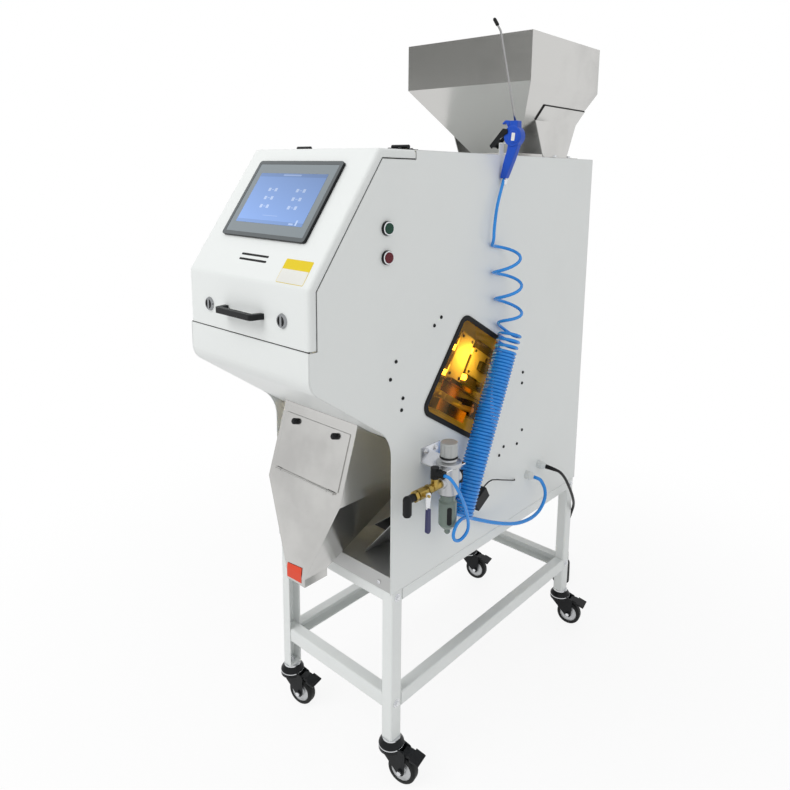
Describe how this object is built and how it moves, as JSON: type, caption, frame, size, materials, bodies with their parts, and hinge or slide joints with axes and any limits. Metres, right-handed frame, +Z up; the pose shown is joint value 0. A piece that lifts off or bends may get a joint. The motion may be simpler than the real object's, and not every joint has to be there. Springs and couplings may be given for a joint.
{
  "type": "optical colour sorter",
  "caption": "Upright optical colour sorter with a sloped touch-screen lid, feed hopper, hinged-door reject chute, air set with coiled blow-gun hose, and a wheeled channel stand.",
  "frame": {"origin": "on the floor, midway between the four legs", "axes": "+Z up, -Y the front with the screen, +X the side with the air set"},
  "size_m": [0.54, 1.4555, 1.8109],
  "materials": {
    "powder_white": "fine white powder coat, satin",
    "stainless": "bright rolled stainless sheet",
    "zinc": "zinc or chrome plated",
    "black_plastic": "moulded black plastic, fine grain",
    "black_paint": "black painted steel",
    "wheel": "black rubber tread on a grey rim",
    "screen_glass": "glossy touch screen",
    "dark_aluminium": "dark anodised",
    "aluminium": "cast and machined",
    "amber_acrylic": "tinted clear acrylic",
    "rubber": "black rubber extrusion",
    "green_plastic": "glossy green",
    "red_plastic": "glossy red",
    "grey_plastic": "pale grey moulded",
    "bowl": "grey-green translucent bowl",
    "brass": "turned brass",
    "navy_plastic": "dipped vinyl",
    "blue_plastic": "glossy blue",
    "blue_hose": "clear blue polyurethane",
    "cable": "black cable sheath"
  },
  "bodies": {
    "machine": {"stand_legs": "powder_white", "stand_rails": "powder_white", "caster_studs": "zinc", "side_panel_left": "powder_white", "side_panel_right": "powder_white", "rear_top_cover": "powder_white", "front_fascia": "powder_white", "cabinet_hinge_leaves": "black_paint", "front_chute": "stainless", "product_tray": "stainless", "hopper": "stainless", "hopper_brackets": "stainless", "feeder_tray": "stainless", "feeder_drive": "aluminium", "slide_chute": "aluminium", "camera_units": "dark_aluminium", "ejector_block": "aluminium", "window_pane": "amber_acrylic", "window_seal": "rubber", "button_bezels": "zinc", "regulator_body": "aluminium", "regulator_bowl": "bowl", "inlet_valve": "brass", "push_fittings": "black_plastic", "pressure_switch": "black_plastic", "gun_body": "blue_plastic", "cable_glands": "grey_plastic", "recoil_lines": "blue_hose", "recoil_coil": "blue_hose", "air_tube": "blue_hose", "power_cord": "cable", "power_hank": "cable", "power_plug": "black_plastic"},
    "lid": {"lid_shell": "powder_white", "lid_hinge_leaves": "black_paint", "hmi_housing": "black_plastic", "hmi_glass": "screen_glass", "lid_handle": "black_plastic"},
    "lock_left": {"lid_lock_left": "zinc"},
    "lock_right": {"lid_lock_right": "zinc"},
    "door": {"chute_door": "stainless"},
    "latch_left": {"door_latch_left": "black_plastic"},
    "latch_right": {"door_latch_right": "black_plastic"},
    "start_button": {"green_button": "green_plastic"},
    "stop_button": {"red_button": "red_plastic"},
    "knob": {"regulator_knob": "grey_plastic"},
    "lever": {"valve_lever": "navy_plastic"},
    "trigger": {"gun_trigger": "black_plastic"},
    "fork_fl": {"caster_fork_fl": "black_paint"},
    "wheel_fl": {"caster_wheel_fl": "wheel"},
    "pedal_fl": {"caster_pedal_fl": "black_paint"},
    "fork_fr": {"caster_fork_fr": "black_paint"},
    "wheel_fr": {"caster_wheel_fr": "wheel"},
    "pedal_fr": {"caster_pedal_fr": "black_paint"},
    "fork_rl": {"caster_fork_rl": "black_paint"},
    "wheel_rl": {"caster_wheel_rl": "wheel"},
    "pedal_rl": {"caster_pedal_rl": "black_paint"},
    "fork_rr": {"caster_fork_rr": "black_paint"},
    "wheel_rr": {"caster_wheel_rr": "wheel"},
    "pedal_rr": {"caster_pedal_rr": "black_paint"}
  },
  "joints": [
    {"name": "lid_hinge", "type": "hinge", "parent": "machine", "child": "lid", "pos_m": [0, -0.35775, 1.5045], "axis": [-1, 0, 0], "range_deg": [0, 80]},
    {"name": "lock_left_turn", "type": "hinge", "parent": "lid", "child": "lock_left", "pos_m": [-0.126, -0.651, 1.164], "axis": [0, -1, 0], "range_deg": [0, 90]},
    {"name": "lock_right_turn", "type": "hinge", "parent": "lid", "child": "lock_right", "pos_m": [0.126, -0.651, 1.164], "axis": [0, 1, 0], "range_deg": [0, 90]},
    {"name": "door_hinge", "type": "hinge", "parent": "machine", "child": "door", "pos_m": [0, -0.50459, 0.74486], "axis": [1, 0, 0], "range_deg": [0, 110]},
    {"name": "latch_left_turn", "type": "hinge", "parent": "door", "child": "latch_left", "pos_m": [-0.07, -0.4652, 0.85932], "axis": [0, -0.9546, 0.298], "range_deg": [0, 90]},
    {"name": "latch_right_turn", "type": "hinge", "parent": "door", "child": "latch_right", "pos_m": [0.07, -0.4652, 0.85932], "axis": [0, -0.9546, 0.298], "range_deg": [0, 90]},
    {"name": "start_press", "type": "slide", "parent": "machine", "child": "start_button", "axis": [-1, 0, 0], "range_m": [0, 0.004], "stiffness_N_per_m": 400},
    {"name": "stop_press", "type": "slide", "parent": "machine", "child": "stop_button", "axis": [-1, 0, 0], "range_m": [0, 0.004], "stiffness_N_per_m": 400},
    {"name": "knob_turn", "type": "hinge", "parent": "machine", "child": "knob", "pos_m": [0.262, -0.295, 0.757], "axis": [0, 0, 1], "continuous": true},
    {"name": "lever_turn", "type": "hinge", "parent": "machine", "child": "lever", "pos_m": [0.262, -0.389, 0.757], "axis": [-1, 0, 0], "range_deg": [0, 90]},
    {"name": "trigger_squeeze", "type": "hinge", "parent": "machine", "child": "trigger", "pos_m": [0.224, -0.046, 1.553], "axis": [0, -1, 0], "range_deg": [0, 10], "stiffness_Nm_per_rad": 2},
    {"name": "swivel_fl", "type": "hinge", "parent": "machine", "child": "fork_fl", "pos_m": [-0.19, -0.402, 0.1], "axis": [0, 0, 1], "continuous": true},
    {"name": "spin_fl", "type": "hinge", "parent": "fork_fl", "child": "wheel_fl", "pos_m": [-0.15674, -0.39493, 0.0375], "axis": [-0.2079, 0.9781, 0], "continuous": true},
    {"name": "brake_fl", "type": "hinge", "parent": "fork_fl", "child": "pedal_fl", "pos_m": [-0.15087, -0.39368, 0.084], "axis": [-0.2079, 0.9781, 0], "range_deg": [0, 14], "stiffness_Nm_per_rad": 3},
    {"name": "swivel_fr", "type": "hinge", "parent": "machine", "child": "fork_fr", "pos_m": [0.19, -0.402, 0.1], "axis": [0, 0, 1], "continuous": true},
    {"name": "spin_fr", "type": "hinge", "parent": "fork_fr", "child": "wheel_fr", "pos_m": [0.22326, -0.39493, 0.0375], "axis": [-0.2079, 0.9781, 0], "continuous": true},
    {"name": "brake_fr", "type": "hinge", "parent": "fork_fr", "child": "pedal_fr", "pos_m": [0.22913, -0.39368, 0.084], "axis": [-0.2079, 0.9781, 0], "range_deg": [0, 14], "stiffness_Nm_per_rad": 3},
    {"name": "swivel_rl", "type": "hinge", "parent": "machine", "child": "fork_rl", "pos_m": [-0.19, 0.402, 0.1], "axis": [0, 0, 1], "continuous": true},
    {"name": "spin_rl", "type": "hinge", "parent": "fork_rl", "child": "wheel_rl", "pos_m": [-0.15674, 0.40907, 0.0375], "axis": [-0.2079, 0.9781, 0], "continuous": true},
    {"name": "brake_rl", "type": "hinge", "parent": "fork_rl", "child": "pedal_rl", "pos_m": [-0.15087, 0.41032, 0.084], "axis": [-0.2079, 0.9781, 0], "range_deg": [0, 14], "stiffness_Nm_per_rad": 3},
    {"name": "swivel_rr", "type": "hinge", "parent": "machine", "child": "fork_rr", "pos_m": [0.19, 0.402, 0.1], "axis": [0, 0, 1], "continuous": true},
    {"name": "spin_rr", "type": "hinge", "parent": "fork_rr", "child": "wheel_rr", "pos_m": [0.22326, 0.40907, 0.0375], "axis": [-0.2079, 0.9781, 0], "continuous": true},
    {"name": "brake_rr", "type": "hinge", "parent": "fork_rr", "child": "pedal_rr", "pos_m": [0.22913, 0.41032, 0.084], "axis": [-0.2079, 0.9781, 0], "range_deg": [0, 14], "stiffness_Nm_per_rad": 3}
  ]
}
